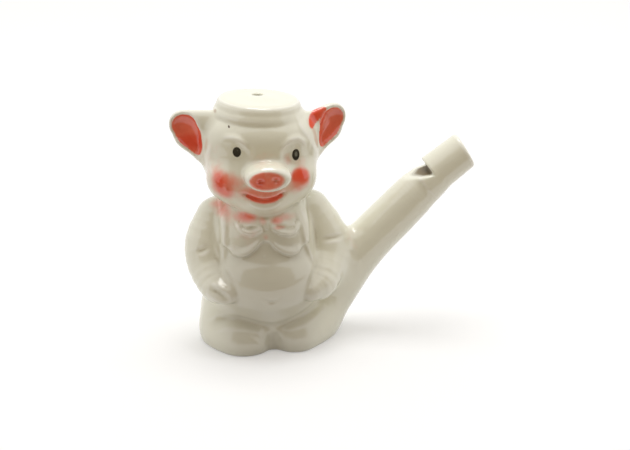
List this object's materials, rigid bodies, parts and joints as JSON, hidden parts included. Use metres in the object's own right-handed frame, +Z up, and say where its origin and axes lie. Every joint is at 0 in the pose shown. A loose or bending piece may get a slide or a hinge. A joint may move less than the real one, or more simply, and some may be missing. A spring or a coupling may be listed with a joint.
{
  "type": "water whistle",
  "caption": "Slip-cast ceramic sitting pig in a flat cap whose tail rises as a hollow blowing tube with a cut window, holding water for a warbling whistle.",
  "frame": {"origin": "middle of the flat foot, on the surface that the whistle stands on", "axes": "+Z up, the pig faces -Y, and the tail tube rises towards +X"},
  "size_m": [0.0863, 0.0372, 0.0702],
  "materials": {
    "cream_glaze": "glossy cream-white glaze, with coral and black painted on the face and ears"
  },
  "bodies": {
    "root": {"pig_whistle": "cream_glaze"}
  },
  "joints": []
}
